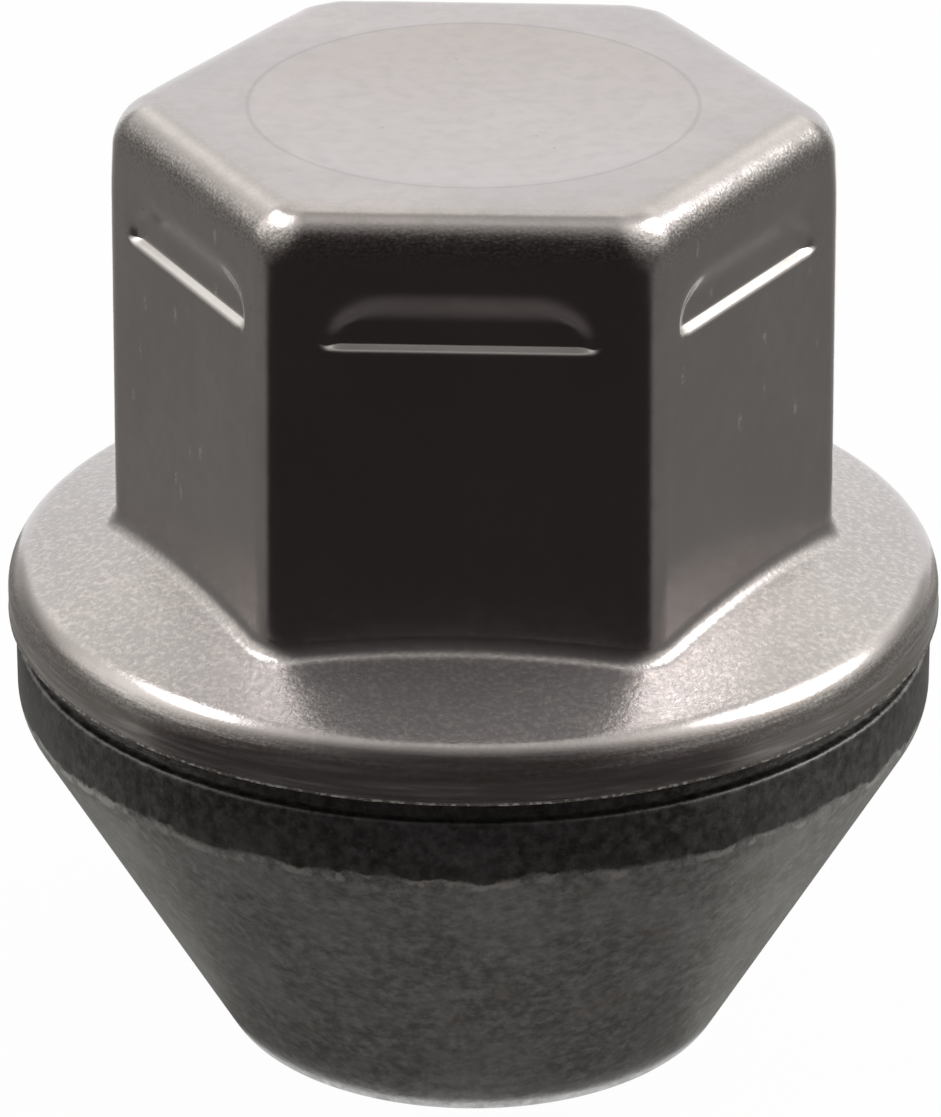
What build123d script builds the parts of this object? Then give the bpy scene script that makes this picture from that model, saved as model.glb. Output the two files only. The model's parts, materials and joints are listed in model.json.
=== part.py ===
from build123d import *
from math import cos, radians, sin, tan
import os

# A capped wheel nut in two pieces: a forged nut with a cone seat, and a formed stainless cap over its
# hexagon and flange. It stands on the small end of its cone, with +Z up and the origin at the middle of
# that end. Two opposite corners of the hexagon lie on the X axis. All sizes are in millimetres.

# Thread
thread_major = 12.0
thread_pitch = 1.5
mouth_reach = 0.3  # how far the lower countersink reaches past the thread's major radius
dish_reach = 0.63  # the same for the upper countersink, which the cap's dish covers

# Cone seat and band of the nut
cone_angle = 60.0  # included angle of the seat
end_wall = 1.25  # metal at the small end, from the countersink to where the cone's line would end
tip_round = 0.6
seat_round = 1.6  # rounding where the cone runs into the band
band_height = 2.1
band_edge_round = 0.15

# Cap, round part
flange_diameter = 28.1
band_step = 0.2  # how far the cap's skirt stands out past the nut's band
skirt_gap = 0.64  # open gap between the band and the skirt's cut edge
skirt_height = 1.55  # from the cut edge to where the flange's slope would meet the skirt
flange_slope = 15.5
shoulder_bend = 0.45  # inside radius of the bend from flange to skirt
rim_round = 0.1

# Cap, hexagon
across_flats = 19.0
gauge_drop = 6.4  # depth below the top face at which the hexagon is measured
hex_height = 14.43  # from where the flange's slope would meet the skirt to the top face
hex_draft = 0.53
corner_bend = 0.85  # inside radius of the upright corners
top_bend = 0.65  # inside radius round the top face
junction_round = 0.6  # hollow fillet between hexagon and flange, on the outside

# Cap, sheet and fit on the nut
sheet = 0.6
dish_depth = 0.25
fit_clearance = 0.05

# Pressed grooves, one in each flat: a sharp ledge below, an upright floor and a soft slope above
groove_drop = 3.8  # from the top face down to the ledge
groove_depth = 0.38
groove_length = 8.2
groove_height = 1.95
groove_low_round = 0.4
groove_high_round = 0.8
groove_floor_length = 7.6
groove_floor_height = 0.7
groove_floor_round = 0.2
ledge_rake = 0.06

# Places that follow from these sizes
minor_radius = (thread_major - 1.0825 * thread_pitch) / 2
mouth_radius = thread_major / 2 + mouth_reach
dish_radius = thread_major / 2 + dish_reach
tip_radius = mouth_radius + end_wall
flange_radius = flange_diameter / 2
band_radius = flange_radius - band_step
seat_z = (band_radius - tip_radius) / tan(radians(cone_angle / 2))
band_top_z = seat_z + band_height
rim_z = band_top_z + skirt_gap
slope_z = rim_z + skirt_height
top_z = slope_z + hex_height
ledge_z = top_z - groove_drop
core_inset = sheet + fit_clearance
core_top_z = top_z - core_inset


def half_flats(z):
    """Distance from the axis to the outside of a flat at height z."""
    return across_flats / 2 + (top_z - gauge_drop - z) * tan(radians(hex_draft))


def between(at_flat, at_floor, level):
    """A size of the groove at a level that runs from 0 at the flat to 1 at the floor."""
    return at_flat + (at_floor - at_flat) * level


def pressed_groove(inset):
    """What the groove takes out of the front flat, where that flat lies inset below the cap's outside."""
    flat = Plane(
        origin=(0, -half_flats(ledge_z), ledge_z),
        x_dir=(1, 0, 0),
        z_dir=(0, -cos(radians(hex_draft)), sin(radians(hex_draft))),
    )
    spread = inset / 2  # the press marks the sheet's inside more widely than its outside
    outside_level = -0.5
    with BuildPart() as groove:
        for level in (outside_level, 1):
            bottom = between(0, ledge_rake, level) - spread
            top = between(groove_height, groove_floor_height, level) + spread
            length = between(groove_length, groove_floor_length, level) + 2 * spread
            with BuildSketch(flat.offset(-inset - level * groove_depth)) as outline:
                with Locations((0, (bottom + top) / 2)):
                    Rectangle(length, top - bottom)
                corner_rows = outline.vertices().group_by(Axis.Y)
                fillet(corner_rows[0], between(groove_low_round, groove_floor_round, level) + spread / 2)
                fillet(corner_rows[-1], between(groove_high_round, groove_floor_round, level) + spread / 2)
        loft(ruled=True)
    return groove.part


def pressed_shape(inset, foot_z):
    """Flange, hexagon and grooves down to foot_z, with every face inset below the cap's outside."""
    groove = pressed_groove(inset)
    radius = flange_radius - inset
    slope = radians(flange_slope)
    edge_z = slope_z + inset * (tan(slope) - 1 / cos(slope))
    hexagon_z = top_z - inset
    with BuildPart() as shape:
        with BuildSketch(Plane.XZ) as flange:
            with BuildLine():
                apex_z = edge_z + radius * tan(slope)
                Polyline((0, foot_z), (radius, foot_z), (radius, edge_z), (0, apex_z), close=True)
            make_face()
            shoulder = flange.vertices().group_by(Axis.X)[-1].sort_by(Axis.Y)[-1]
            fillet(shoulder, shoulder_bend + sheet - inset)
        revolve(axis=Axis.Z)
        with BuildSketch(Plane.XY.offset(hexagon_z)) as hexagon:
            RegularPolygon(half_flats(hexagon_z) - inset, 6, major_radius=False)
            fillet(hexagon.vertices(), corner_bend + sheet - inset)
        extrude(amount=foot_z - hexagon_z, taper=-hex_draft)
        fillet(shape.edges(Select.NEW), junction_round + inset)
        fillet(shape.faces().sort_by(Axis.Z)[-1].edges(), top_bend + sheet - inset)
        with PolarLocations(0, 6):
            add(groove, mode=Mode.SUBTRACT)
    return shape.part


def dish(inset):
    """Large ball that sinks the dish into the top, inset below the cap's outside."""
    curve = (dish_radius**2 + dish_depth**2) / (2 * dish_depth)
    with BuildPart() as ball:
        with Locations((0, 0, top_z - dish_depth + curve)):
            Sphere(curve + inset)
    return ball.part


# Cap: the pressed shape, less the same shape and dish drawn in by the sheet's thickness
cap_outside = pressed_shape(0, rim_z)
cap_inside = pressed_shape(sheet, rim_z)

with BuildPart() as cavity:
    add(cap_inside)
    add(dish(sheet), mode=Mode.SUBTRACT)

with BuildPart() as cap:
    add(cap_outside)
    add(dish(0), mode=Mode.SUBTRACT)
    add(cavity.part, mode=Mode.SUBTRACT)
    rim = cap.edges().filter_by(GeomType.CIRCLE).group_by(Axis.Z)[0].sort_by(SortBy.RADIUS)[-1]
    fillet(rim, rim_round)

# Nut: cone seat and band, then the flange and hexagon that fill the cap, with the thread's bore through all
core = pressed_shape(core_inset, band_top_z)

with BuildPart() as nut_body:
    with BuildSketch(Plane.XZ) as seat:
        with BuildLine():
            Polyline(
                (0, 0),
                (tip_radius, 0),
                (band_radius, seat_z),
                (band_radius, band_top_z),
                (0, band_top_z),
                close=True,
            )
        make_face()
        tip_corner = seat.vertices().group_by(Axis.Y)[0].sort_by(Axis.X)[-1]
        seat_corner, band_corner = seat.vertices().group_by(Axis.X)[-1].sort_by(Axis.Y)
        fillet(tip_corner, tip_round)
        fillet(seat_corner, seat_round)
        fillet(band_corner, band_edge_round)
    revolve(axis=Axis.Z)
    add(core)
    with BuildSketch(Plane.XZ):
        with BuildLine():
            Polyline(
                (0, 0),
                (mouth_radius, 0),
                (minor_radius, mouth_radius - minor_radius),
                (minor_radius, core_top_z + minor_radius - dish_radius),
                (dish_radius, core_top_z),
                (0, core_top_z),
                close=True,
            )
        make_face()
    revolve(axis=Axis.Z, mode=Mode.SUBTRACT)

os.makedirs("parts", exist_ok=True)

cap.part.label = "cap"
export_step(cap.part, "parts/cap.step")

nut_body.part.label = "nut_body"
export_step(nut_body.part, "parts/nut_body.step")
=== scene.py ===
import json
from math import cos, pi, radians, sin, tan

import bmesh
import bpy
import numpy as np
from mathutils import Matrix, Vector


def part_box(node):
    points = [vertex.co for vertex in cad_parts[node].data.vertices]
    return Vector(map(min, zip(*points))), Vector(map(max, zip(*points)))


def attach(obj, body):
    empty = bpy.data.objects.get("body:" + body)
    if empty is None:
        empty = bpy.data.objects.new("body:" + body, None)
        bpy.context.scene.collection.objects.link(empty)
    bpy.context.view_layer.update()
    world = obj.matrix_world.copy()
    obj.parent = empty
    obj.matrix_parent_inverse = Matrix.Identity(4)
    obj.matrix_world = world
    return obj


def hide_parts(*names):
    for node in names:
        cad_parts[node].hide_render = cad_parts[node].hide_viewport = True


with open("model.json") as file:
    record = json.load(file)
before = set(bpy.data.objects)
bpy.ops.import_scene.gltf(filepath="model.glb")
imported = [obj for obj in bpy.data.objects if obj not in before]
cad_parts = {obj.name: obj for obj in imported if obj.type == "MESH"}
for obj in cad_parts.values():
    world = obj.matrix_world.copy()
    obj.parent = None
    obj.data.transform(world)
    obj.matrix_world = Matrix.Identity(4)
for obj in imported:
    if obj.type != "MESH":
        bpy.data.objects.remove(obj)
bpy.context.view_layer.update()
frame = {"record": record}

# Sizes of the nut in millimetres: what the frame gives, then the sizes of the part's own source
MM = 0.001
cap_low, cap_high = (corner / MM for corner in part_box("cap"))
nut_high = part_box("nut_body")[1] / MM
flange_radius = cap_high.x
rim_z = cap_low.z
top_z = cap_high.z
core_top_z = nut_high.z
band_radius = nut_high.x

thread_major = 12.0
thread_pitch = 1.5
minor_radius = frame["record"]["mounts"][0]["dims"]["r_mm"]
mouth_reach = 0.3
dish_reach = 0.63
cone_angle = 60.0
end_wall = 1.25
tip_round = 0.6
seat_round = 1.6
band_height = 2.1
band_edge_round = 0.15
skirt_height = 1.55
flange_slope = 15.5
shoulder_bend = 0.45
rim_round = 0.1
across_flats = 19.0
gauge_drop = 6.4
hex_draft = 0.53
corner_bend = 0.85
top_bend = 0.65
junction_round = 0.6
sheet = 0.6
dish_depth = 0.25
groove_drop = 3.8
groove_length = 8.2
groove_low_round = 0.4

# Shape that only the scene has: the grooves' soft outline
groove_depth = 0.31
groove_height = 1.9
groove_floor_length = 6.7
groove_floor_height = 0.6
end_flare = 1.4  # the slope at a groove's ends gets wider by this much on its way up
end_flare_start = 0.2  # height above the ledge from which it does
end_flare_height = 1.4
ledge_turn = radians(62)  # the flat rounds into the ledge over this much turn, then runs straight
ledge_round = 0.3
wear_and_highlight_share = 0.45  # share of the ledge's height, from its inner corner down, that is painted bright: partly rubbed wear, partly a painted highlight
wear_and_highlight_fade = 0.2  # share of its height over which that fades out
wear_and_highlight_top = 0.01  # height above the ledge at which it ends

# The hexagon's corners grow rounder towards the top
corner_swell = 0.6
corner_swell_drop = 3.0
top_corner_bend = 0.15
corner_onset = 0.6  # share of a flat, from its middle, at which the larger bend of the corner sets in
corner_onset_share = 0.35  # share of that larger bend that the flat's end has

# The skirt's cut edge is uneven
rim_unevenness = 0.02
burr = 0.04  # how far the edge stands out where it is roughest
burr_height = 0.07

# Places that follow from these sizes
mouth_radius = thread_major / 2 + mouth_reach
dish_radius = thread_major / 2 + dish_reach
tip_radius = mouth_radius + end_wall
seat_z = (band_radius - tip_radius) / tan(radians(cone_angle / 2))
band_top_z = seat_z + band_height
slope_z = rim_z + skirt_height
core_inset = top_z - core_top_z
dish_curve = (dish_radius**2 + dish_depth**2) / (2 * dish_depth)
slope = radians(flange_slope)
draft = radians(hex_draft)
corner_radius = corner_bend + sheet
half_flats = across_flats / 2 - gauge_drop * tan(draft)
ledge_shelf = (groove_depth - ledge_round * (1 - cos(ledge_turn))) / tan(ledge_turn)
ledge_lip = ledge_round * sin(ledge_turn) + ledge_shelf


def smooth(share):
    share = np.clip(share, 0, 1)
    return share * share * (3 - 2 * share)


class Columns:
    """The columns of points that run down round the hexagon, from the front flat towards +X."""

    def __init__(self, along_flat, corner_steps):
        out, right, normal, step, cornered = [], [], [], [], []
        for side in range(6):
            facing = -pi / 2 + side * pi / 3
            for share in along_flat:
                out.append([cos(facing), sin(facing)])
                normal.append([cos(facing), sin(facing)])
                right.append([-sin(facing), cos(facing)])
                step.append(share)
                near_corner = smooth((abs(share) - corner_onset) / (1 - corner_onset))
                cornered.append(corner_onset_share * near_corner)
            for turn in np.linspace(0, pi / 3, corner_steps + 1)[1:-1]:
                out.append([cos(facing), sin(facing)])
                normal.append([cos(facing + turn), sin(facing + turn)])
                right.append([-sin(facing), cos(facing)])
                step.append(1.0)
                cornered.append(corner_onset_share + (1 - corner_onset_share) * sin(3 * turn) ** 2)
        self.out, self.right, self.normal = (np.array(values) for values in (out, right, normal))
        self.step, self.cornered = np.array(step), np.array(cornered)
        self.on_flat = np.abs((self.out * self.normal).sum(1) - 1) < 1e-9
        rim = self.hexagon(half_flats, corner_radius, 0, 0)[:, :2]
        self.direction = rim / np.linalg.norm(rim, axis=1)[:, None]
        self.angle = np.unwrap(np.arctan2(self.direction[:, 1], self.direction[:, 0]))

    def hexagon(self, flats, corner, inset, z):
        """Row round a hexagon with rounded corners, drawn in by inset."""
        flats, corner, inset = (np.broadcast_to(value, self.step.shape) for value in (flats, corner, inset))
        reach = flats - corner
        xy = self.out * reach[:, None] + self.right * (self.step * reach * tan(pi / 6))[:, None]
        return self.row(xy + self.normal * (corner - inset)[:, None], z)

    def round(self, radius, z):
        """Row round a circle."""
        return self.row(self.direction * np.broadcast_to(radius, self.step.shape)[:, None], z)

    def row(self, xy, z):
        return np.column_stack([xy, np.broadcast_to(z, self.step.shape)])


def groove_press(columns, straight, rise, spread):
    """How far the press moved each flat inwards at a height above the ledge, and how much of the ledge's wear
    and painted highlight it has there.
    """
    past_groove = across_flats
    along = np.where(columns.on_flat, np.abs(columns.step) * straight * tan(pi / 6), past_groove)
    end = groove_length / 2 + spread
    flare = end_flare * smooth((rise - end_flare_start) / end_flare_height)
    side_slope = (groove_length - groove_floor_length) / 2 + flare
    across = 1 - smooth((along - end + side_slope) / side_slope)
    above = 1 - smooth((rise - groove_floor_height - spread) / (groove_height - groove_floor_height))
    lip = (rise + spread + ledge_lip) / ledge_round
    rounded = ledge_round * (1 - np.sqrt(1 - np.clip(lip, 0, sin(ledge_turn)) ** 2))
    shelf = ledge_round * np.clip(lip - sin(ledge_turn), 0, None) * tan(ledge_turn)
    ledge = np.minimum(rounded + shelf, groove_depth)
    wear_and_highlight = smooth((rise + wear_and_highlight_share * ledge_lip) / (wear_and_highlight_fade * ledge_lip)) * (rise < wear_and_highlight_top)
    return across * above * ledge, across * wear_and_highlight


def ledge_lift(columns, rise):
    """How far a row at this height above the ledge rises with the ledge's rounded ends."""
    rounded_share = 0.9  # the ends follow their quarter round up to this share of its radius
    at_corners = groove_low_round * 0.56  # as high as the ends rise
    along = np.abs(columns.step) * (half_flats - corner_radius) * tan(pi / 6)
    turn = np.clip((along - groove_length / 2 + groove_low_round) / groove_low_round, 0, rounded_share)
    lift = np.where(columns.on_flat, groove_low_round * (1 - np.sqrt(1 - turn**2)), at_corners)
    return lift * smooth((0.66 - rise) / 0.5) * smooth((rise + 1.2) / 0.9)


def flange_height(radius, inset):
    """Height of the flange's slope at this distance from the axis."""
    return slope_z + (flange_radius - radius) * tan(slope) - inset / cos(slope)


def wall_at(drop):
    """Distance of the flats and radius of the corners at this depth below the top face."""
    wider = drop * tan(draft)
    swell = corner_swell * (1 - smooth(drop / corner_swell_drop))
    return half_flats + wider, corner_radius + wider + swell


def top_bend_at(columns, inset):
    """Radius of the bend round the top face."""
    return top_bend + sheet - inset + top_corner_bend * columns.cornered


def sandy(turn):
    """Share of sandy grain at this turn of a bend in radians, most of it two thirds of the way round."""
    return (0.1 + 0.9 * smooth((turn - 0.6) / 0.45)) * (1 - 0.7 * smooth((turn - 1.15) / 0.4))


def top_bend_rows(columns, inset, fine):
    """Rows of the bend round the top face."""
    bend = top_bend_at(columns, inset)
    for turn in np.linspace(0, pi / 2, 15 if fine else 5):
        drop = inset + bend * (1 - cos(turn))
        row = columns.hexagon(*wall_at(drop), inset + bend * (1 - sin(turn)), top_z - drop)
        yield row, sandy(turn), 0, 0


def heights_at_ledge(fine):
    """Heights above the ledge of the wall's rows, from the groove's slope down to the hexagon's foot."""
    if not fine:
        return [0.95, 0.75, 0.4, 0.12, 0.0, -0.1, -0.3, -0.5, -2.0, -5.0]
    slope_heights = [0.72, 0.66, 0.58, 0.45, 0.3, 0.2, 0.1, 0.03]
    inner_corner = [0.004, 0.0, -0.004]
    shelf = [-0.25 * ledge_shelf, -0.5 * ledge_shelf, -0.75 * ledge_shelf]
    lip = [ledge_round * sin(turn) - ledge_lip for turn in np.linspace(ledge_turn, 0, 11)]
    below = [-0.65, -0.9, -1.4, -2.4, -3.6, -4.8, -6.0, -7.0, -8.2]
    return slope_heights + inner_corner + shelf + lip + below


def wall_rows(columns, inset, fine):
    """Rows of the wall with its groove. Those by the ledge follow its rounded ends."""
    grain_at_top = 0.25
    grain_reach = 2.4
    wall_top = inset + top_bend_at(columns, inset)
    heights = heights_at_ledge(fine)
    first_drop = groove_drop - heights[0]
    for share in np.linspace(0, 1, 16 if fine else 3)[1:-1]:
        drop = wall_top + (first_drop - wall_top) * share
        flats, corner = wall_at(drop)
        press, _ = groove_press(columns, flats - corner, groove_drop - drop, inset / 2)
        grain = np.clip(grain_at_top - (drop - wall_top) / grain_reach, 0, 1)
        yield columns.hexagon(flats, corner, inset + press, top_z - drop), grain, 0, 0
    for rise in heights:
        drop = groove_drop - rise - ledge_lift(columns, rise)
        flats, corner = wall_at(drop)
        press, wear_and_highlight = groove_press(columns, flats - corner, np.full_like(drop, rise), inset / 2)
        yield columns.hexagon(flats, corner, inset + press, top_z - drop), 0, wear_and_highlight, 0


def foot_rows(columns, inset, fine):
    """Rows of the hollow fillet at the hexagon's foot, the flange and its round shoulder."""
    # Fillet: in each column's own upright plane, tangent to the wall and to the flange's slope
    fillet_grain, flange_grain, shoulder_grain = 0.1, 0.12, 0.65
    fillet = junction_round + inset
    foot_drop = top_z - flange_height(half_flats, inset)
    foot = columns.hexagon(*wall_at(foot_drop), inset, 0)[:, :2]
    foot_z = flange_height(np.linalg.norm(foot, axis=1), inset)
    tilt = -tan(slope) * (columns.normal * columns.direction).sum(1)
    centre_z = foot_z + tilt * fillet + fillet * np.sqrt(1 + tilt**2)
    last = np.arctan(tilt)
    for share in np.linspace(0, 1, 11 if fine else 5):
        turn = (pi / 2 + last) * share
        start = foot + columns.normal * (fillet * (1 - np.cos(turn)))[:, None]
        yield columns.row(start, centre_z - fillet * np.sin(turn)), fillet_grain, 0, share

    # Flange: from the fillet's end out to the round shoulder
    shoulder = shoulder_bend + sheet - inset
    shoulder_radius = flange_radius - inset - shoulder
    shoulder_z = flange_height(shoulder_radius, inset) - shoulder / cos(slope)
    end = columns.direction * (shoulder_radius + shoulder * sin(slope))
    for share in np.linspace(0, 1, 13 if fine else 5)[1:]:
        xy = start + (end - start) * share
        yield columns.row(xy, flange_height(np.linalg.norm(xy, axis=1), inset)), flange_grain * share, 0, 1
    for turn in np.linspace(slope, pi / 2, 15 if fine else 7)[1:]:
        row = columns.round(shoulder_radius + shoulder * sin(turn), shoulder_z + shoulder * cos(turn))
        yield row, shoulder_grain * sandy(turn - 0.12), 0, max(0, 1 - 3 * (turn - slope))


def pressed_rows(columns, inset, fine):
    """Rows from the top face's edge to the foot of the shoulder, drawn in by inset, and their marks."""
    rows, marks = [], {"bend": [], "wear_and_highlight": [], "satin": []}
    for part in (top_bend_rows, wall_rows, foot_rows):
        for row, *values in part(columns, inset, fine):
            rows.append(row)
            for mark, value in zip(marks.values(), values):
                mark.append(value)
    return rows, marks


def dish_rows(columns, inset, steps):
    """Rows from the middle of the dish out to the edge of the top face."""
    ball_z = top_z - dish_depth + dish_curve
    curve = dish_curve + inset
    edge = (curve**2 - (ball_z - top_z + inset) ** 2) ** 0.5
    radii = np.linspace(0, edge, steps)
    rows = [columns.round(radius, ball_z - (curve**2 - radius**2) ** 0.5) for radius in radii]
    dish_edge = rows[-1]
    face_inset = inset + top_bend_at(columns, inset)
    face_edge = columns.hexagon(half_flats, corner_radius + corner_swell, face_inset, top_z - inset)
    return rows + [dish_edge + (face_edge - dish_edge) * share for share in (0.02, 0.1, 0.25, 0.5, 0.75)]


def mesh_from_rows(name, rows, marks, pole=False):
    """Mesh of quads through closed rows, with marks kept for the material.

    It closes on its first row, or on a point where its first and last rows are one.
    """
    count = len(rows[0])
    points = np.concatenate(rows)
    steps = np.arange(count)
    beside = np.roll(steps, -1)
    faces = []
    for index in range(len(rows) - 1):
        top, below = index * count, (index + 1) * count
        faces.append(np.column_stack([top + steps, below + steps, below + beside, top + beside]))
    if not pole:
        last = (len(rows) - 1) * count
        faces.append(np.column_stack([last + steps, steps, beside, last + beside]))
    faces = np.concatenate(faces)
    mesh = bpy.data.meshes.new(name)
    mesh.from_pydata((points * MM).tolist(), [], faces.tolist())
    for mark, values in marks.items():
        layer = mesh.attributes.new(mark, "FLOAT", "POINT")
        layer.data.foreach_set("value", np.concatenate([np.broadcast_to(value, count) for value in values]))
    mesh.shade_smooth()
    piece = bpy.data.objects.new(name, mesh)
    bpy.context.scene.collection.objects.link(piece)
    merge_doubles(mesh)
    return piece


def merge_doubles(mesh):
    """Joins the points that fall together, such as those of a row that is only one point."""
    same_place = 1e-7
    shape = bmesh.new()
    shape.from_mesh(mesh)
    bmesh.ops.remove_doubles(shape, verts=shape.verts, dist=same_place)
    bmesh.ops.recalc_face_normals(shape, faces=shape.faces)
    shape.to_mesh(mesh)
    shape.free()


def cap_shell():
    """The formed sheet: outside, cut edge and inside."""
    end_steps = np.linspace(0.6, 1.0, 22)
    along_flat = np.concatenate([-end_steps[::-1], np.linspace(-0.55, 0.55, 21), end_steps])
    columns = Columns(along_flat, 16)

    # Outside, down to just above the cut edge
    rows = dish_rows(columns, 0, 16)
    pressed, marks = pressed_rows(columns, 0, True)
    marks = {name: [0] * len(rows) + values for name, values in marks.items()}
    rows += pressed
    skirt_foot = rim_z + rim_round
    for z in np.linspace(rows[-1][0, 2], skirt_foot + burr_height, 5)[1:]:
        rows.append(columns.round(flange_radius, z))

    # Cut edge: a burr, then an uneven round
    skirt_end = len(rows)
    angle = columns.angle
    uneven = 0.5 * np.sin(7 * angle + 1) + 0.3 * np.sin(19 * angle) + 0.2 * np.sin(43 * angle)
    cut_z = rim_z + rim_unevenness * (1 + uneven)
    rough_radius = flange_radius + burr * (0.6 + 0.4 * uneven)
    rows.append(columns.round(rough_radius, skirt_foot))
    for turn in np.linspace(0, pi / 2, 5)[1:]:
        edge_z = skirt_foot - (skirt_foot - cut_z) * sin(turn)
        rows.append(columns.round(rough_radius - rim_round * (1 - cos(turn)), edge_z))
    rows.append(columns.round(flange_radius - sheet, rim_z + rim_unevenness))
    marks["edge"] = [0] * skirt_end + [1] * (len(rows) - skirt_end)

    # Inside, back up to the middle of the dish
    inner = dish_rows(columns, sheet, 6) + pressed_rows(columns, sheet, False)[0]
    rows += inner[::-1]
    for values in marks.values():
        values += [0] * (len(rows) - len(values))
    return mesh_from_rows("cap_shell", rows, marks, pole=True)


def thread_radius(angle, z):
    """Radius of a right-hand internal thread.

    Its crests are flat for a quarter of the pitch, its roots for an eighth.
    """
    crest, root = 1 / 4, 1 / 8
    place = np.abs((z / thread_pitch - angle / (2 * pi)) % 1 - 0.5) * 2
    flank = np.clip((place - crest) / (1 - root - crest), 0, 1)
    return minor_radius + (thread_major / 2 - minor_radius) * flank


def arc_between(before, corner, after, radius, steps):
    """Points of a profile's rounded corner."""
    before, corner, after = (np.array(point, float) for point in (before, corner, after))
    to_before = (before - corner) / np.linalg.norm(before - corner)
    to_after = (after - corner) / np.linalg.norm(after - corner)
    half = np.arccos(np.clip(to_before @ to_after, -1, 1)) / 2
    middle = (to_before + to_after) / np.linalg.norm(to_before + to_after)
    centre = corner + middle * radius / sin(half)
    start = corner + to_before * radius / tan(half) - centre
    end = corner + to_after * radius / tan(half) - centre
    turn = pi - 2 * half
    shares = np.linspace(0, 1, steps)
    return [centre + (start * sin((1 - s) * turn) + end * sin(s * turn)) / sin(turn) for s in shares]


def nut_forging():
    """The forged nut: hexagon and flange inside the cap, band, cone seat and threaded bore."""
    columns = Columns(np.linspace(-1, 1, 25), 8)
    rows = pressed_rows(columns, core_inset, False)[0]
    step_corner = (flange_radius - core_inset, band_top_z)
    band_corner = (band_radius, band_top_z)
    seat_corner = (band_radius, seat_z)
    tip_corner = (tip_radius, 0.0)
    mouth_corner = (mouth_radius, 0)
    profile = [step_corner]
    profile += arc_between(step_corner, band_corner, seat_corner, band_edge_round, 4)
    profile += arc_between(band_corner, seat_corner, tip_corner, seat_round, 9)
    profile += [(band_radius + (tip_radius - band_radius) * s, seat_z * (1 - s)) for s in (0.25, 0.5, 0.75)]
    profile += arc_between(seat_corner, tip_corner, mouth_corner, tip_round, 6)
    rows += [columns.round(radius, z) for radius, z in profile]
    bore_steps = 232
    for z in np.linspace(0, core_top_z, bore_steps):
        mouth = max(mouth_radius - z, dish_radius - (core_top_z - z))
        rows.append(columns.round(np.maximum(thread_radius(columns.angle, z), mouth), z))
    return mesh_from_rows("nut_forging", rows, {})


# Camera: fitted to the photograph's outlines, in the nut's own frame
camera_place = Vector((7.365, -183.832, 101.206))
camera_pan = -0.0405
camera_tilt = -0.4387
camera_sensor = 36
camera_clip = (0.01, 10)
focal_pixels = 6721.2
photo_height = 1117


def make_camera():
    camera = bpy.data.objects.new("camera", bpy.data.cameras.new("camera"))
    bpy.context.scene.collection.objects.link(camera)
    level = cos(camera_tilt)
    looking = Vector((sin(camera_pan) * level, cos(camera_pan) * level, sin(camera_tilt)))
    camera.location = camera_place * MM
    camera.rotation_euler = looking.to_track_quat("-Z", "Y").to_euler()
    camera.data.sensor_width = camera_sensor
    camera.data.lens = focal_pixels * camera_sensor / photo_height
    camera.data.clip_start, camera.data.clip_end = camera_clip
    bpy.context.scene.camera = camera


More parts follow.
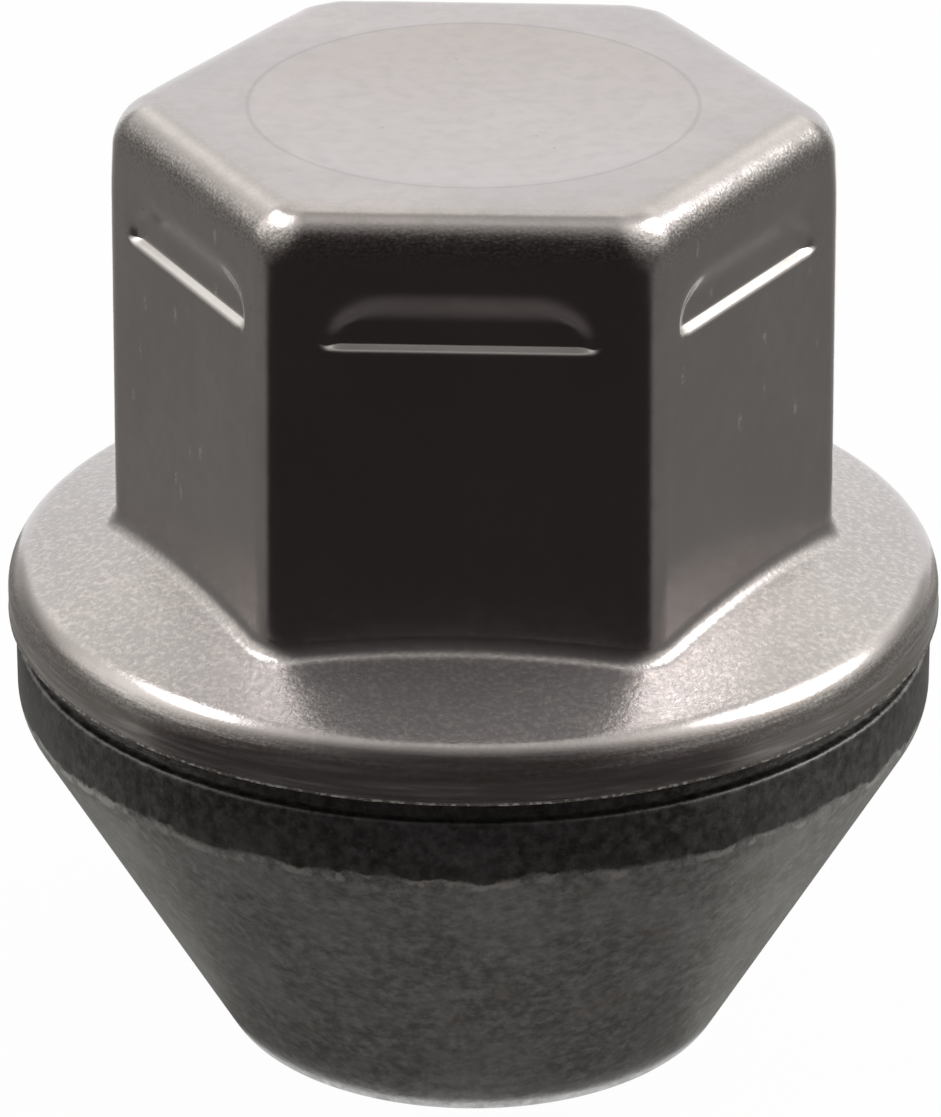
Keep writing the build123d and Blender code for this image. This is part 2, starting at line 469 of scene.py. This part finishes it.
class Nodes:
    """A material's node tree, with short calls for the nodes used here."""

    def __init__(self, name):
        self.material = bpy.data.materials.new(name)
        self.material.use_nodes = True
        self.tree = self.material.node_tree
        self.shader = self.tree.nodes["Principled BSDF"]
        self.place = self.add("ShaderNodeTexCoord").outputs["Object"]

    def add(self, kind, **settings):
        node = self.tree.nodes.new(kind)
        for key, value in settings.items():
            setattr(node, key, value)
        return node

    def put(self, socket, value):
        if hasattr(value, "is_linked"):
            self.tree.links.new(value, socket)
        else:
            socket.default_value = value

    def axes(self):
        node = self.add("ShaderNodeSeparateXYZ")
        self.put(node.inputs[0], self.place)
        return node.outputs

    def radius(self):
        """Distance from the nut's axis."""
        flat = self.add("ShaderNodeVectorMath", operation="MULTIPLY")
        self.put(flat.inputs[0], self.place)
        flat.inputs[1].default_value = (1, 1, 0)
        length = self.add("ShaderNodeVectorMath", operation="LENGTH")
        self.put(length.inputs[0], flat.outputs["Vector"])
        return length.outputs["Value"]

    def noise(self, size_mm, detail=2.0, roughness=0.5, place=None):
        """Noise from about 0 to 1 whose blobs are about size_mm across."""
        node = self.add("ShaderNodeTexNoise")
        self.put(node.inputs["Vector"], place or self.place)
        node.inputs["Scale"].default_value = 1 / (size_mm * MM * 2)
        node.inputs["Detail"].default_value = detail
        node.inputs["Roughness"].default_value = roughness
        return node.outputs["Fac"]

    def cells(self, size_mm, place=None):
        """Distance from a cell's centre in cells, and a random colour for each cell."""
        node = self.add("ShaderNodeTexVoronoi")
        self.put(node.inputs["Vector"], place or self.place)
        node.inputs["Scale"].default_value = 1 / (size_mm * MM)
        return node.outputs["Distance"], node.outputs["Color"]

    def stretched(self, x, y, z):
        node = self.add("ShaderNodeMapping", vector_type="POINT")
        self.put(node.inputs["Vector"], self.place)
        node.inputs["Scale"].default_value = (x, y, z)
        return node.outputs["Vector"]

    def attribute(self, name):
        return self.add("ShaderNodeAttribute", attribute_name=name).outputs["Fac"]

    def math(self, operation, first, second=0.0):
        node = self.add("ShaderNodeMath", operation=operation)
        self.put(node.inputs[0], first)
        self.put(node.inputs[1], second)
        return node.outputs[0]

    def times(self, first, second):
        return self.math("MULTIPLY", first, second)

    def ramp(self, value, low, high, at_low=0.0, at_high=1.0, smooth=True):
        """Value mapped from low..high to at_low..at_high, held at the ends."""
        node = self.add("ShaderNodeMapRange", interpolation_type="SMOOTHSTEP" if smooth else "LINEAR")
        for socket, number in zip(node.inputs, (value, low, high, at_low, at_high)):
            self.put(socket, number)
        return node.outputs[0]

    def mix(self, share, first, second):
        node = self.add("ShaderNodeMix", data_type="RGBA")
        self.put(node.inputs["Factor"], share)
        for socket, color in zip((node.inputs[6], node.inputs[7]), (first, second)):
            self.put(socket, (*color, 1) if isinstance(color, tuple) else color)
        return node.outputs[2]

    def paint(self, color, coats):
        """Colour with coats laid over it, each a share and a colour, on the shader's base colour."""
        for share, coat in coats:
            color = self.mix(share, color, coat)
        self.put(self.shader.inputs["Base Color"], color)

    def emboss(self, reliefs):
        """Reliefs on the shader's normal, each a height from 0 to 1, its depth in mm and a strength."""
        normal = None
        for height, depth_mm, strength in reliefs:
            node = self.add("ShaderNodeBump")
            node.inputs["Distance"].default_value = depth_mm * MM
            self.put(node.inputs["Strength"], strength)
            self.put(node.inputs["Height"], height)
            if normal:
                self.put(node.inputs["Normal"], normal)
            normal = node.outputs["Normal"]
        self.put(self.shader.inputs["Normal"], normal)


def cap_steel():
    """Satin stainless sheet: even on the flats, sandy where it was bent, with pits, nicks and a raw edge."""
    n = Nodes("cap_steel")

    # Where things are: the marks that the mesh carries, then places on the cap
    bend, edge, wear_and_highlight, satin = (n.attribute(name) for name in ("bend", "edge", "wear_and_highlight", "satin"))
    axes = n.axes()
    radius = n.radius()
    on_top = n.ramp(axes["Z"], (top_z - 1.2) * MM, (top_z - 0.6) * MM)
    in_dish = n.times(on_top, n.ramp(radius, dish_radius * MM, (dish_radius - 0.4) * MM))
    from_dish_edge = n.math("ABSOLUTE", n.math("SUBTRACT", radius, dish_radius * MM))
    # painted shade: a thin darker ring where the dish folds into the top face
    dish_edge = n.times(on_top, n.ramp(from_dish_edge, 0.02 * MM, 0.11 * MM, 1.0, 0.0))
    above_flange = n.ramp(axes["Z"], (slope_z + 2.5) * MM, (slope_z + 4.0) * MM)
    behind_front = n.ramp(axes["Y"], -9.2 * MM, -8.6 * MM)
    skirt = n.ramp(axes["Z"], (slope_z + 0.1) * MM, (slope_z - 0.4) * MM)

    # Patterns, from wide to fine
    smudges = n.noise(2.2, 3.0, 0.55)
    streaks = n.noise(1.0, 3.0, 0.6, n.stretched(0.5, 0.5, 9.0))
    mottle = n.noise(0.3, 3.0, 0.6)
    cloud = n.noise(0.09, 3.0, 0.65)
    sand = n.noise(0.05, 3.0, 0.65, n.stretched(0.85, 0.85, 1.4))
    grain = n.noise(0.03, 2.0)
    pit_distance, pit_color = n.cells(0.5)
    some_pits = n.math("GREATER_THAN", pit_color, 0.86)
    pits = n.times(n.ramp(pit_distance, 0.05, 0.14, 1.0, 0.0), some_pits)
    nick_distance, nick_color = n.cells(0.8, n.stretched(1.0, 1.0, 0.42))
    nicks = n.times(n.ramp(nick_distance, 0.06, 0.2, 0.75, 0.0), n.ramp(nick_color, 0.42, 0.5))
    nicks = n.times(nicks, n.ramp(cloud, 0.46, 0.52))
    on_side_flats = n.times(n.times(above_flange, behind_front), n.math("SUBTRACT", 1.0, on_top))
    nicks = n.times(nicks, on_side_flats)

    raw_edge = n.mix(n.ramp(cloud, 0.45, 0.6), (0.16, 0.14, 0.12), (0.72, 0.68, 0.63))
    n.paint(
        n.mix(n.ramp(smudges, 0.3, 0.7), (0.585, 0.536, 0.534), (0.53, 0.495, 0.497)),
        [
            # Dish and faint mottle
            (n.times(in_dish, n.ramp(smudges, 0.4, 0.6, 0.0, 0.5)), (0.60, 0.53, 0.53)),
            (n.ramp(mottle, 0.35, 0.75, 0.0, 0.35), (0.45, 0.425, 0.41)),
            # Satin flange, darker and lighter
            (n.times(satin, n.ramp(cloud, 0.4, 0.66, 0.0, 0.8)), (0.50, 0.475, 0.465)),
            (n.times(satin, n.ramp(cloud, 0.3, 0.55, 0.45, 0.0)), (0.93, 0.86, 0.81)),
            # Streaks on the skirt, dark and light
            (n.times(skirt, n.ramp(streaks, 0.42, 0.62, 0.0, 0.65)), (0.36, 0.31, 0.28)),
            (n.times(skirt, n.ramp(streaks, 0.32, 0.46, 0.6, 0.0)), (0.86, 0.83, 0.79)),
            # Pits, and painted shade: a dark line along the dish's edge fold
            (n.times(pits, 0.5), (0.27, 0.24, 0.22)),
            (n.times(dish_edge, 0.28), (0.30, 0.28, 0.28)),
            # Sandy bends, dark and light grains
            (n.times(bend, n.ramp(sand, 0.5, 0.62)), (0.35, 0.32, 0.30)),
            (n.times(bend, n.ramp(sand, 0.34, 0.48, 1.0, 0.0)), (0.76, 0.72, 0.70)),
            # Bare metal in the nicks and at the cut edge; on the ledges, rubbed wear with a painted highlight
            (nicks, (0.85, 0.83, 0.80)),
            # painted highlight: the ledges are painted near white, partly as rubbed wear and partly standing
            # in for the light they catch
            (n.times(wear_and_highlight, 0.85), (0.96, 0.93, 0.90)),
            (edge, raw_edge),
        ],
    )

    # Matt places scatter part of the light and are rougher
    matt = n.math("MAXIMUM", satin, n.times(skirt, 0.15))
    dull = n.math("MAXIMUM", n.times(edge, 0.35), n.times(wear_and_highlight, 0.3))
    dull = n.math("MAXIMUM", n.times(matt, 0.3), dull)
    n.put(n.shader.inputs["Metallic"], n.math("SUBTRACT", 1.0, dull))
    rough = n.ramp(mottle, 0.3, 0.8, 0.15, 0.22)
    for mark, more in ((bend, 0.03), (matt, 0.07), (edge, 0.15), (wear_and_highlight, 0.14), (nicks, 0.25)):
        rough = n.math("ADD", rough, n.times(mark, more))
    n.put(n.shader.inputs["Roughness"], rough)

    cloud_strength = n.math("MAXIMUM", n.times(satin, 0.9), 0.06)
    sand_strength = n.math("MAXIMUM", n.ramp(bend, 0.0, 1.0, 0.04, 1.0, smooth=False), n.times(satin, 0.25))
    sand_strength = n.times(sand_strength, n.ramp(mottle, 0.3, 0.6, 0.55, 1.0))
    n.emboss([
        (smudges, 0.03, 0.5),
        (mottle, 0.008, 0.6),
        (cloud, 0.014, cloud_strength),
        (streaks, 0.02, n.times(skirt, 0.9)),
        (sand, 0.012, sand_strength),
        (grain, 0.003, 0.6),
        (pits, 0.01, 0.5),
    ])
    return n.material


def nut_steel():
    """Dark forged steel with a mottled skin: a black band, a greyer cone and a rubbed line between them."""
    n = Nodes("nut_steel")
    patches = n.noise(1.3, 4.0, 0.6)
    blotches = n.noise(0.4, 4.0, 0.7)
    mottle = n.noise(0.18, 4.0, 0.65)
    speckle = n.noise(0.06, 1.0)

    # Cone and line, both with an edge that wanders up and down
    wander = n.times(n.math("SUBTRACT", n.noise(0.8, 4.0, 0.65), 0.5), 1.1 * MM)
    height = n.math("ADD", n.axes()["Z"], wander)
    cone = n.ramp(height, (seat_z + 0.2) * MM, (seat_z + 0.4) * MM, 1.0, 0.0)
    line_low = n.ramp(height, (seat_z - 0.05) * MM, (seat_z + 0.15) * MM)
    line_high = n.ramp(height, (seat_z + 0.25) * MM, (seat_z + 0.38) * MM, 1.0, 0.0)
    line = n.times(n.times(line_low, line_high), n.ramp(blotches, 0.44, 0.56))
    rust = n.times(cone, n.ramp(n.noise(0.7, 3.0, 0.7), 0.56, 0.72, 0.0, 0.3))

    dark = n.mix(cone, (0.095, 0.089, 0.087), (0.26, 0.257, 0.25))
    light = n.mix(cone, (0.26, 0.255, 0.255), (0.64, 0.635, 0.63))
    n.paint(
        n.mix(n.ramp(mottle, 0.3, 0.74), dark, light),
        [
            # Blotches, patches and speckle, then rust on the cone and the worn line
            (n.ramp(blotches, 0.36, 0.72, 0.0, 0.4), dark),
            (n.ramp(patches, 0.4, 0.75, 0.0, 0.45), light),
            (n.ramp(speckle, 0.64, 0.76, 0.0, 0.3), (0.40, 0.39, 0.38)),
            (rust, (0.34, 0.26, 0.20)),
            (n.times(line, 0.75), (0.84, 0.82, 0.79)),
        ],
    )
    n.shader.inputs["Metallic"].default_value = 0.93
    n.put(n.shader.inputs["Roughness"], n.ramp(mottle, 0.3, 0.7, 0.34, 0.5))
    n.emboss([(patches, 0.05, 0.5), (blotches, 0.03, 0.6), (mottle, 0.03, 0.8), (speckle, 0.008, 0.8)])
    return n.material


# Studio: the metal shows the white background behind it, and dimmer cards in front and at the sides
card_distance = 600.0
card_eye_z = 20.0
card_columns = 121
dome_rows = 40
floor_rows = 16
dome_foot = -4.0  # elevation at which the side card meets the floor card
floor_card_near = 22.0
floor_card_far = 600.0
floor_card_z = 0.3
open_azimuth = 150.0  # the cards leave the back open from here on, counted from the front,
open_elevation = 26.0  # and up to here
front_glow = 0.028
side_glow = 0.168
ceiling_glow = 0.29
back_glow = 0.74
near_floor_glow = 0.085

# Glow round each soft light and beside the open back: azimuth from the front, elevation, reach, brightness
halos = [
    (-102.0, 40.0, 27.0, 1.15),
    (-149.0, 31.0, 11.0, 0.6),
    (106.0, 43.0, 28.0, 1.3),
    (152.0, 31.0, 11.0, 0.6),
]

# The dim parts of the cards are a little redder than the bright ones
dim_tint, dim_glow = (1.0, 0.88, 0.85, 1), 0.04
bright_tint, bright_glow = (1.0, 0.987, 0.93, 1), 0.16

# Soft lights: azimuth, elevation, width and height in metres, radiance
softbox_distance = 0.5
softboxes = {
    "softbox_left": (-114, 54, (0.27, 0.10), 5.0),
    "softbox_right": (112, 45, (0.26, 0.28), 4.6),
}

floor_half = 2.0
floor_grey = 0.9
floor_white = 0.975  # share of white in what the camera sees of the floor, the rest takes the shadow
world_light = 0.45  # strength of the world for all other rays
shown_rays = ["Is Camera Ray", "Is Glossy Ray", "Is Transmission Ray"]  # these see plain white


def toward(azimuth, elevation):
    """Direction from the nut, with the azimuth counted from the front towards +X."""
    turn, lift = np.broadcast_arrays(np.radians(azimuth), np.radians(elevation))
    return np.stack([np.sin(turn) * np.cos(lift), -np.cos(turn) * np.cos(lift), np.sin(lift)], axis=-1)


def card_glow(azimuth, elevation):
    """Brightness of the cards: dark in front, grey at the sides, light behind, with the halos on top."""
    turn = np.abs(azimuth)
    upper, lower = smooth((elevation - 47) / 16), smooth(-elevation / 25)
    back = smooth((turn - 120) / 60) * (1 - 0.85 * upper) * (1 - 0.75 * lower)
    low = smooth(-elevation / 15)  # below the horizon the dark front ends more sharply
    side = smooth((np.abs(azimuth + 5) - 30 - 28 * low) / (65 - 51 * low))
    glow = front_glow + side_glow * side + back_glow * back
    glow = glow + ceiling_glow * smooth((elevation - 50) / 40)
    near_floor = smooth((-elevation - 24) / 20)
    lighter_behind = 1 + 0.5 * smooth((turn - 30) / 60) + 3.0 * smooth((turn - 125) / 40)
    glow = glow + near_floor_glow * near_floor * lighter_behind
    above_horizon = smooth((elevation - 2) / 22)
    for halo_azimuth, halo_elevation, reach, strength in halos:
        nearness = (toward(azimuth, elevation) * toward(halo_azimuth, halo_elevation)).sum(-1)
        away = np.degrees(np.arccos(np.clip(nearness, -1, 1)))
        glow = glow + strength * np.exp(-((away / reach) ** 2)) * above_horizon
    return glow


def empty_material(name):
    """Material with nothing but its output, and its node tree."""
    material = bpy.data.materials.new(name)
    material.use_nodes = True
    material.cycles.emission_sampling = "NONE"
    tree = material.node_tree
    tree.nodes.remove(tree.nodes["Principled BSDF"])
    return material, tree


def stage_mesh(name, points, faces, material):
    """Object of the stage: a card or the floor."""
    mesh = bpy.data.meshes.new(name)
    mesh.from_pydata(points, [], faces)
    mesh.materials.append(material)
    thing = bpy.data.objects.new(name, mesh)
    bpy.context.scene.collection.objects.link(thing)
    return thing


def glow_card(name, points, glow):
    """Card as a grid of points that only shows in reflections."""
    material, tree = empty_material(name)
    emission = tree.nodes.new("ShaderNodeEmission")
    attribute = tree.nodes.new("ShaderNodeAttribute")
    attribute.attribute_name = "glow"
    warmth = tree.nodes.new("ShaderNodeMapRange")
    tree.links.new(attribute.outputs["Fac"], warmth.inputs["Value"])
    warmth.inputs["From Min"].default_value = dim_glow
    warmth.inputs["From Max"].default_value = bright_glow
    tint = tree.nodes.new("ShaderNodeMix")
    tint.data_type = "RGBA"
    tree.links.new(warmth.outputs["Result"], tint.inputs["Factor"])
    tint.inputs[6].default_value = dim_tint
    tint.inputs[7].default_value = bright_tint
    tree.links.new(tint.outputs[2], emission.inputs["Color"])
    tree.links.new(attribute.outputs["Fac"], emission.inputs["Strength"])
    tree.links.new(emission.outputs["Emission"], tree.nodes["Material Output"].inputs["Surface"])

    rows, columns = points.shape[:2]
    steps = np.arange(rows * columns).reshape(rows, columns)
    faces = np.stack([steps[:-1, :-1], steps[1:, :-1], steps[1:, 1:], steps[:-1, 1:]], axis=-1).reshape(-1, 4)
    card = stage_mesh(name, (points.reshape(-1, 3) * MM).tolist(), faces.tolist(), material)
    layer = card.data.attributes.new("glow", "FLOAT", "POINT")
    layer.data.foreach_set("value", glow.ravel())
    card.visible_camera = False
    card.visible_diffuse = False
    card.visible_shadow = False
    card.visible_volume_scatter = False


def dome_card(name, reach, lowest, highest):
    """Part of a dome of cards, from -reach to reach degrees round from the front."""
    across, up = np.linspace(-reach, reach, card_columns), np.linspace(lowest, highest, dome_rows)
    azimuth, elevation = np.meshgrid(across, up)
    points = toward(azimuth, elevation) * card_distance + np.array([0, 0, card_eye_z])
    glow_card(name, points, card_glow(azimuth, elevation))


def floor_card(name, reach, nearest, farthest):
    """Part of a round card just above the floor."""
    across, out = np.linspace(-reach, reach, card_columns), np.geomspace(nearest, farthest, floor_rows)
    azimuth, radius = np.meshgrid(across, out)
    points = toward(azimuth, 0) * radius[..., None] + np.array([0, 0, floor_card_z])
    glow_card(name, points, card_glow(azimuth, -np.degrees(np.arctan(card_eye_z / radius))))


def make_cards():
    dome_card("dome_card", 180, open_elevation, 90)
    dome_card("side_card", open_azimuth, dome_foot, open_elevation)
    floor_card("floor_card", open_azimuth, floor_card_near, floor_card_far)
    floor_card("near_floor_card", 180, tip_radius + 0.3, floor_card_near)


def make_softboxes():
    """Oval area lamps that face the nut."""
    for name, (azimuth, elevation, size, radiance) in softboxes.items():
        data = bpy.data.lights.new(name, "AREA")
        data.shape = "ELLIPSE"
        data.size, data.size_y = size
        data.energy = radiance * pi * pi * size[0] * size[1] / 4
        lamp = bpy.data.objects.new(name, data)
        away = Vector(toward(azimuth, elevation)).normalized()
        lamp.location = away * softbox_distance + Vector((0, 0, card_eye_z * MM))
        lamp.rotation_euler = away.to_track_quat("Z", "Y").to_euler()
        lamp.visible_camera = False
        bpy.context.scene.collection.objects.link(lamp)


def ray_share(tree, kinds):
    """1 for rays of these kinds, 0 for others."""
    path = tree.nodes.new("ShaderNodeLightPath")
    total = path.outputs[kinds[0]]
    for kind in kinds[1:]:
        node = tree.nodes.new("ShaderNodeMath")
        node.operation = "MAXIMUM"
        tree.links.new(total, node.inputs[0])
        tree.links.new(path.outputs[kind], node.inputs[1])
        total = node.outputs[0]
    return total


def make_floor():
    """White floor that keeps the nut's shadow."""
    material, tree = empty_material("floor_paper")
    matt = tree.nodes.new("ShaderNodeBsdfDiffuse")
    matt.inputs["Color"].default_value = (floor_grey, floor_grey, floor_grey, 1)
    white = tree.nodes.new("ShaderNodeEmission")
    white.inputs["Strength"].default_value = 1.0
    share = tree.nodes.new("ShaderNodeMath")
    share.operation = "MULTIPLY"
    tree.links.new(ray_share(tree, shown_rays), share.inputs[0])
    share.inputs[1].default_value = floor_white
    mix = tree.nodes.new("ShaderNodeMixShader")
    tree.links.new(share.outputs[0], mix.inputs["Fac"])
    tree.links.new(matt.outputs["BSDF"], mix.inputs[1])
    tree.links.new(white.outputs["Emission"], mix.inputs[2])
    tree.links.new(mix.outputs["Shader"], tree.nodes["Material Output"].inputs["Surface"])
    half = floor_half
    corners = [(-half, -half, 0), (half, -half, 0), (half, half, 0), (-half, half, 0)]
    stage_mesh("floor", corners, [(0, 1, 2, 3)], material)


def make_world():
    """White background, with a plain soft light from it."""
    world = bpy.data.worlds.new("world")
    world.use_nodes = True
    tree = world.node_tree
    strength = tree.nodes.new("ShaderNodeMapRange")
    tree.links.new(ray_share(tree, shown_rays), strength.inputs["Value"])
    strength.inputs["To Min"].default_value = world_light
    strength.inputs["To Max"].default_value = 1.0
    background = tree.nodes["Background"]
    background.inputs["Color"].default_value = (1, 1, 1, 1)
    tree.links.new(strength.outputs["Result"], background.inputs["Strength"])
    bpy.context.scene.world = world


cap_piece = cap_shell()
cap_piece.data.materials.append(cap_steel())
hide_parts("cap")
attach(cap_piece, "root")

nut_piece = nut_forging()
nut_piece.data.materials.append(nut_steel())
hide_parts("nut_body")
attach(nut_piece, "root")

make_floor()
make_world()
make_cards()
make_softboxes()
make_camera()
bpy.context.scene.view_settings.view_transform = "Standard"
